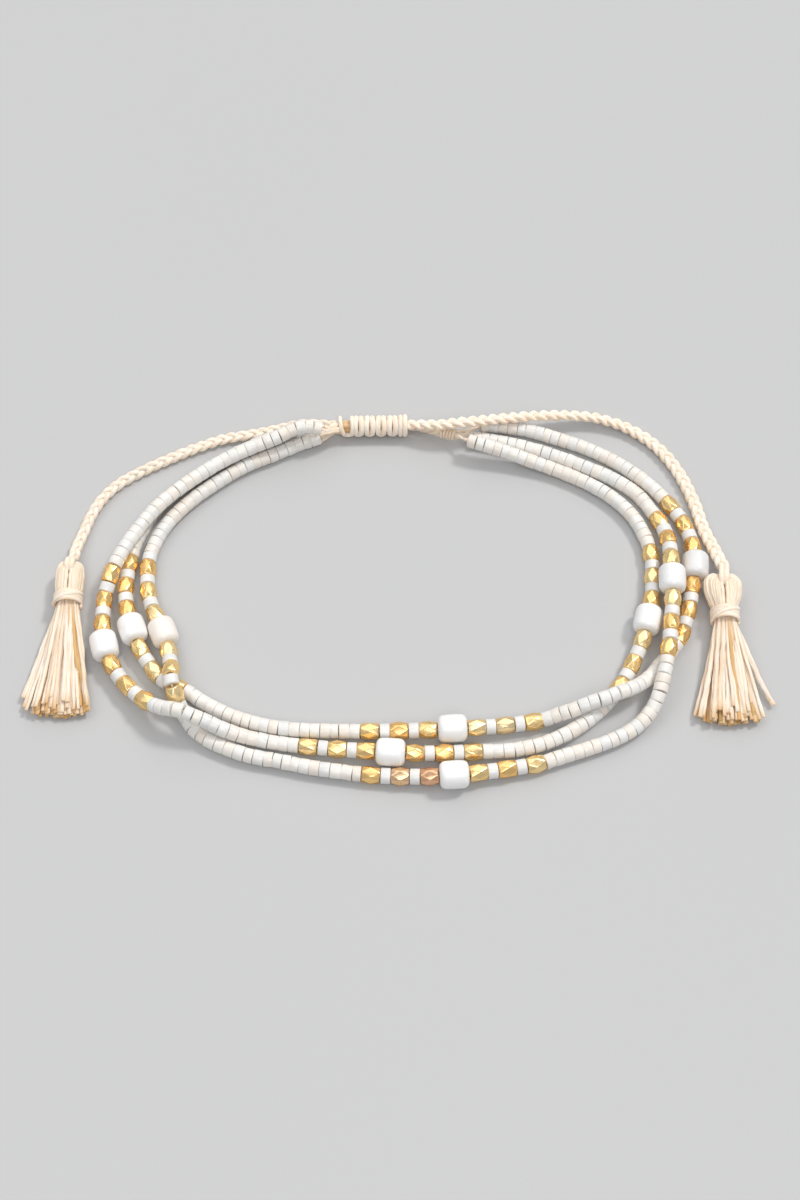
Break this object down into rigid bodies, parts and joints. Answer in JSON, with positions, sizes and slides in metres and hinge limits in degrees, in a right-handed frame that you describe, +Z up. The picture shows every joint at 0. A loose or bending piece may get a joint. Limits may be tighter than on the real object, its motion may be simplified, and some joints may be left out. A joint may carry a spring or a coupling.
{
  "type": "beaded bracelet",
  "caption": "Pull-tie bracelet: strands of white seed beads with faceted gold and white barrel beads, gathered into a sliding knot on braided cords with tassels.",
  "frame": {"origin": "middle of the bottom of the box round the strands, gathers and knot, on the surface the bracelet lies on", "axes": "+Y towards the sliding knot, +X along the loop's long way to the wearer's right as drawn, +Z up, out of the flat loop"},
  "size_m": [0.1, 0.0602, 0.0056],
  "materials": {
    "seed_white": "pearly off-white glass seed beads, softly glossy",
    "gold_bead": "polished gold plate on faceted beads",
    "barrel_white": "smooth satin white",
    "cream_cord": "braided matt thread, warm cream",
    "cream_thread": "loose matt thread, warm cream"
  },
  "bodies": {
    "root": {"barrel_1_front": "barrel_white", "barrel_1_left": "barrel_white", "barrel_1_right": "barrel_white", "barrel_2_front": "barrel_white", "barrel_2_left": "barrel_white", "barrel_2_right": "barrel_white", "barrel_3_front": "barrel_white", "barrel_3_left": "barrel_white", "barrel_3_right": "barrel_white", "binding_left": "cream_thread", "binding_right": "cream_thread", "cord_left": "cream_cord", "cord_right": "cream_cord", "gather_left": "cream_thread", "gather_right": "cream_thread", "sliding_knot": "cream_cord", "strand_1": "seed_white", "strand_2": "seed_white", "strand_3": "seed_white", "tassel_left": "cream_thread", "tassel_right": "cream_thread"}
  },
  "joints": []
}
